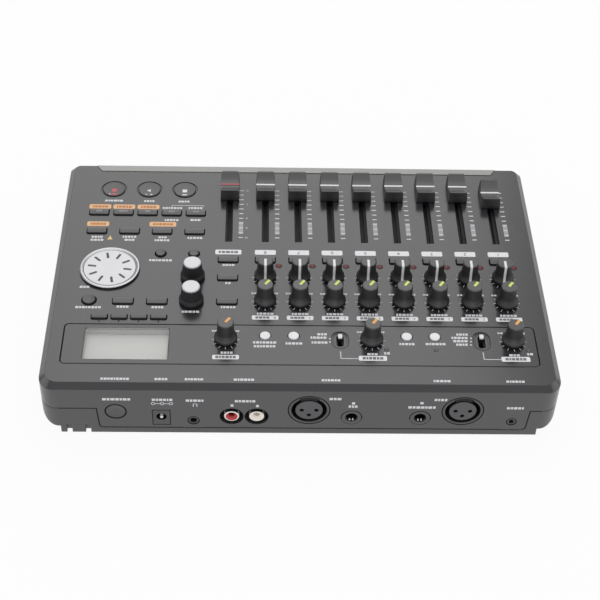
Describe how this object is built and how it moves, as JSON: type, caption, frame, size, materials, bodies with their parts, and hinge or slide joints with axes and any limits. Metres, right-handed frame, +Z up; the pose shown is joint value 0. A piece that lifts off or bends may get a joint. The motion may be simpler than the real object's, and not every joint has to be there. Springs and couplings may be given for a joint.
{
  "type": "digital multitrack recorder",
  "caption": "Desktop multitrack recorder: sloping control panel with faders, knobs, keys, data wheel and display; audio sockets on the rear wall.",
  "frame": {"origin": "middle of the case's footprint, on the table", "axes": "+X to the player's right, +Y to the rear wall with the sockets, +Z up"},
  "size_m": [0.29, 0.2056, 0.0532],
  "materials": {
    "case_grey": "fine moulded grain, satin",
    "front_silver": "silver paint, satin",
    "window_clear": "clear, polished",
    "display_grey": "pale grey display",
    "board_green": "solder mask",
    "pot_metal": "plain",
    "track_black": "satin",
    "lamp_red": "clear red, unlit",
    "socket_black": "satin",
    "foot_rubber": "matt",
    "knob_black": "satin",
    "fader_black": "satin",
    "eq_knob_white": "white top on a black grip",
    "wheel_white": "white disc in a bright ring",
    "key_grey": "satin",
    "button_white": "satin"
  },
  "bodies": {
    "chassis": {"top_case": "case_grey", "bottom_case": "case_grey", "front_panel": "front_silver", "display_window": "window_clear", "lcd_module": "display_grey", "control_board": "board_green", "main_board": "board_green", "slide_pots": "track_black", "rotary_pots": "pot_metal", "indicator_lamps": "lamp_red", "microphone_sockets": "socket_black", "line_jacks": "socket_black", "line_out_sockets": "socket_black", "power_inlet": "socket_black", "rubber_feet": "foot_rubber", "case_screws": "pot_metal"},
    "fader_1": {"fader_1": "fader_black"},
    "fader_2": {"fader_2": "fader_black"},
    "fader_3": {"fader_3": "fader_black"},
    "fader_4": {"fader_4": "fader_black"},
    "fader_5": {"fader_5": "fader_black"},
    "fader_6": {"fader_6": "fader_black"},
    "fader_7": {"fader_7": "fader_black"},
    "fader_8": {"fader_8": "fader_black"},
    "master_fader": {"master_fader": "fader_black"},
    "pan_knob_1": {"pan_knob_1": "knob_black"},
    "pan_knob_2": {"pan_knob_2": "knob_black"},
    "pan_knob_3": {"pan_knob_3": "knob_black"},
    "pan_knob_4": {"pan_knob_4": "knob_black"},
    "pan_knob_5": {"pan_knob_5": "knob_black"},
    "pan_knob_6": {"pan_knob_6": "knob_black"},
    "pan_knob_7": {"pan_knob_7": "knob_black"},
    "pan_knob_8": {"pan_knob_8": "knob_black"},
    "reverb_knob_1": {"reverb_knob_1": "knob_black"},
    "reverb_knob_2": {"reverb_knob_2": "knob_black"},
    "reverb_knob_3": {"reverb_knob_3": "knob_black"},
    "reverb_knob_4": {"reverb_knob_4": "knob_black"},
    "reverb_knob_5": {"reverb_knob_5": "knob_black"},
    "reverb_knob_6": {"reverb_knob_6": "knob_black"},
    "reverb_knob_7": {"reverb_knob_7": "knob_black"},
    "reverb_knob_8": {"reverb_knob_8": "knob_black"},
    "trim_knob_a": {"trim_knob_a": "knob_black"},
    "trim_knob_b": {"trim_knob_b": "knob_black"},
    "level_knob": {"level_knob": "knob_black"},
    "eq_low_knob": {"eq_low_knob": "eq_knob_white"},
    "eq_high_knob": {"eq_high_knob": "eq_knob_white"},
    "data_wheel": {"data_wheel": "wheel_white"},
    "input_switch_a": {"input_switch_a": "button_white"},
    "input_switch_b": {"input_switch_b": "button_white"},
    "record_button": {"record_button": "key_grey"},
    "play_button": {"play_button": "key_grey"},
    "stop_button": {"stop_button": "key_grey"},
    "record_keys": {"record_keys": "key_grey"},
    "select_keys": {"select_keys": "key_grey"},
    "display_keys": {"display_keys": "key_grey"},
    "menu_keys": {"menu_keys": "key_grey"},
    "locate_keys": {"locate_keys": "key_grey"},
    "mode_buttons": {"mode_buttons": "button_white"},
    "power_button": {"power_button": "key_grey"},
    "card_door": {"card_door": "front_silver"}
  },
  "joints": [
    {"name": "fader_1_slide", "type": "slide", "parent": "chassis", "child": "fader_1", "axis": [0, 0.9996, 0.0284], "range_m": [-0.0055, 0.0395]},
    {"name": "fader_2_slide", "type": "slide", "parent": "chassis", "child": "fader_2", "axis": [0, 0.9996, 0.0284], "range_m": [0, 0.045]},
    {"name": "fader_3_slide", "type": "slide", "parent": "chassis", "child": "fader_3", "axis": [0, 0.9996, 0.0284], "range_m": [0, 0.045]},
    {"name": "fader_4_slide", "type": "slide", "parent": "chassis", "child": "fader_4", "axis": [0, 0.9996, 0.0284], "range_m": [0, 0.045]},
    {"name": "fader_5_slide", "type": "slide", "parent": "chassis", "child": "fader_5", "axis": [0, 0.9996, 0.0284], "range_m": [0, 0.045]},
    {"name": "fader_6_slide", "type": "slide", "parent": "chassis", "child": "fader_6", "axis": [0, 0.9996, 0.0284], "range_m": [0, 0.045]},
    {"name": "fader_7_slide", "type": "slide", "parent": "chassis", "child": "fader_7", "axis": [0, 0.9996, 0.0284], "range_m": [0, 0.045]},
    {"name": "fader_8_slide", "type": "slide", "parent": "chassis", "child": "fader_8", "axis": [0, 0.9996, 0.0284], "range_m": [0, 0.045]},
    {"name": "master_fader_slide", "type": "slide", "parent": "chassis", "child": "master_fader", "axis": [0, 0.9996, 0.0284], "range_m": [0, 0.045]},
    {"name": "pan_1_turn", "type": "hinge", "parent": "chassis", "child": "pan_knob_1", "pos_m": [-0.121, 0.01409, 0.0376], "axis": [0, -0.0284, 0.9996], "range_deg": [-150, 150]},
    {"name": "pan_2_turn", "type": "hinge", "parent": "chassis", "child": "pan_knob_2", "pos_m": [-0.10084, 0.01409, 0.0376], "axis": [0, -0.0284, 0.9996], "range_deg": [-150, 150]},
    {"name": "pan_3_turn", "type": "hinge", "parent": "chassis", "child": "pan_knob_3", "pos_m": [-0.08068, 0.01409, 0.0376], "axis": [0, -0.0284, 0.9996], "range_deg": [-150, 150]},
    {"name": "pan_4_turn", "type": "hinge", "parent": "chassis", "child": "pan_knob_4", "pos_m": [-0.06052, 0.01409, 0.0376], "axis": [0, -0.0284, 0.9996], "range_deg": [-150, 150]},
    {"name": "pan_5_turn", "type": "hinge", "parent": "chassis", "child": "pan_knob_5", "pos_m": [-0.04036, 0.01409, 0.0376], "axis": [0, -0.0284, 0.9996], "range_deg": [-150, 150]},
    {"name": "pan_6_turn", "type": "hinge", "parent": "chassis", "child": "pan_knob_6", "pos_m": [-0.0202, 0.01409, 0.0376], "axis": [0, -0.0284, 0.9996], "range_deg": [-150, 150]},
    {"name": "pan_7_turn", "type": "hinge", "parent": "chassis", "child": "pan_knob_7", "pos_m": [-0.00004, 0.01409, 0.0376], "axis": [0, -0.0284, 0.9996], "range_deg": [-150, 150]},
    {"name": "pan_8_turn", "type": "hinge", "parent": "chassis", "child": "pan_knob_8", "pos_m": [0.02012, 0.01409, 0.0376], "axis": [0, -0.0284, 0.9996], "range_deg": [-150, 150]},
    {"name": "reverb_1_turn", "type": "hinge", "parent": "chassis", "child": "reverb_knob_1", "pos_m": [-0.121, 0.03459, 0.03818], "axis": [0, -0.0284, 0.9996], "range_deg": [-290, 0]},
    {"name": "reverb_2_turn", "type": "hinge", "parent": "chassis", "child": "reverb_knob_2", "pos_m": [-0.10084, 0.03459, 0.03818], "axis": [0, -0.0284, 0.9996], "range_deg": [-290, 0]},
    {"name": "reverb_3_turn", "type": "hinge", "parent": "chassis", "child": "reverb_knob_3", "pos_m": [-0.08068, 0.03459, 0.03818], "axis": [0, -0.0284, 0.9996], "range_deg": [-290, 0]},
    {"name": "reverb_4_turn", "type": "hinge", "parent": "chassis", "child": "reverb_knob_4", "pos_m": [-0.06052, 0.03459, 0.03818], "axis": [0, -0.0284, 0.9996], "range_deg": [-290, 0]},
    {"name": "reverb_5_turn", "type": "hinge", "parent": "chassis", "child": "reverb_knob_5", "pos_m": [-0.04036, 0.03459, 0.03818], "axis": [0, -0.0284, 0.9996], "range_deg": [-290, 0]},
    {"name": "reverb_6_turn", "type": "hinge", "parent": "chassis", "child": "reverb_knob_6", "pos_m": [-0.0202, 0.03459, 0.03818], "axis": [0, -0.0284, 0.9996], "range_deg": [-290, 0]},
    {"name": "reverb_7_turn", "type": "hinge", "parent": "chassis", "child": "reverb_knob_7", "pos_m": [-0.00004, 0.03459, 0.03818], "axis": [0, -0.0284, 0.9996], "range_deg": [-290, 0]},
    {"name": "reverb_8_turn", "type": "hinge", "parent": "chassis", "child": "reverb_knob_8", "pos_m": [0.02012, 0.03459, 0.03818], "axis": [0, -0.0284, 0.9996], "range_deg": [-290, 0]},
    {"name": "trim_a_turn", "type": "hinge", "parent": "chassis", "child": "trim_knob_a", "pos_m": [-0.121, 0.06597, 0.03908], "axis": [0, -0.0284, 0.9996], "range_deg": [-290, 0]},
    {"name": "trim_b_turn", "type": "hinge", "parent": "chassis", "child": "trim_knob_b", "pos_m": [-0.04036, 0.06597, 0.03908], "axis": [0, -0.0284, 0.9996], "range_deg": [-290, 0]},
    {"name": "level_turn", "type": "hinge", "parent": "chassis", "child": "level_knob", "pos_m": [0.0424, 0.06597, 0.03908], "axis": [0, -0.0284, 0.9996], "range_deg": [-290, 0]},
    {"name": "eq_low_turn", "type": "hinge", "parent": "chassis", "child": "eq_low_knob", "pos_m": [0.063, 0.01409, 0.0376], "axis": [0, -0.0284, 0.9996], "continuous": true},
    {"name": "eq_high_turn", "type": "hinge", "parent": "chassis", "child": "eq_high_knob", "pos_m": [0.063, 0.03459, 0.03818], "axis": [0, -0.0284, 0.9996], "continuous": true},
    {"name": "data_wheel_turn", "type": "hinge", "parent": "chassis", "child": "data_wheel", "pos_m": [0.1124, 0.0079, 0.03742], "axis": [0, -0.0284, 0.9996], "continuous": true},
    {"name": "input_a_select", "type": "slide", "parent": "chassis", "child": "input_switch_a", "axis": [0, 0.9996, 0.0284], "range_m": [0, 0.005]},
    {"name": "input_b_select", "type": "slide", "parent": "chassis", "child": "input_switch_b", "axis": [0, 0.9996, 0.0284], "range_m": [0, 0.004]},
    {"name": "record_press", "type": "slide", "parent": "chassis", "child": "record_button", "axis": [0, 0.0284, -0.9996], "range_m": [0, 0.0008], "stiffness_N_per_m": 1500},
    {"name": "play_press", "type": "slide", "parent": "chassis", "child": "play_button", "axis": [0, 0.0284, -0.9996], "range_m": [0, 0.0008], "stiffness_N_per_m": 1500},
    {"name": "stop_press", "type": "slide", "parent": "chassis", "child": "stop_button", "axis": [0, 0.0284, -0.9996], "range_m": [0, 0.0008], "stiffness_N_per_m": 1500},
    {"name": "record_key_press", "type": "slide", "parent": "chassis", "child": "record_keys", "axis": [0, 0.0284, -0.9996], "range_m": [0, 0.0008], "stiffness_N_per_m": 1500},
    {"name": "select_key_press", "type": "slide", "parent": "chassis", "child": "select_keys", "axis": [0, 0.0284, -0.9996], "range_m": [0, 0.0008], "stiffness_N_per_m": 1500},
    {"name": "display_key_press", "type": "slide", "parent": "chassis", "child": "display_keys", "axis": [0, 0.0284, -0.9996], "range_m": [0, 0.0008], "stiffness_N_per_m": 1500},
    {"name": "menu_key_press", "type": "slide", "parent": "chassis", "child": "menu_keys", "axis": [0, 0.0284, -0.9996], "range_m": [0, 0.0008], "stiffness_N_per_m": 1500},
    {"name": "locate_key_press", "type": "slide", "parent": "chassis", "child": "locate_keys", "axis": [0, 0.0284, -0.9996], "range_m": [0, 0.0008], "stiffness_N_per_m": 1500},
    {"name": "mode_button_press", "type": "slide", "parent": "chassis", "child": "mode_buttons", "axis": [0, 0.0284, -0.9996], "range_m": [0, 0.0008], "stiffness_N_per_m": 1500},
    {"name": "power_press", "type": "slide", "parent": "chassis", "child": "power_button", "axis": [0, -1, 0], "range_m": [0, 0.0018], "stiffness_N_per_m": 1500},
    {"name": "card_door_swing", "type": "hinge", "parent": "chassis", "child": "card_door", "pos_m": [0.072, -0.10043, 0.01013], "axis": [1, 0, 0], "range_deg": [0, 95]}
  ]
}
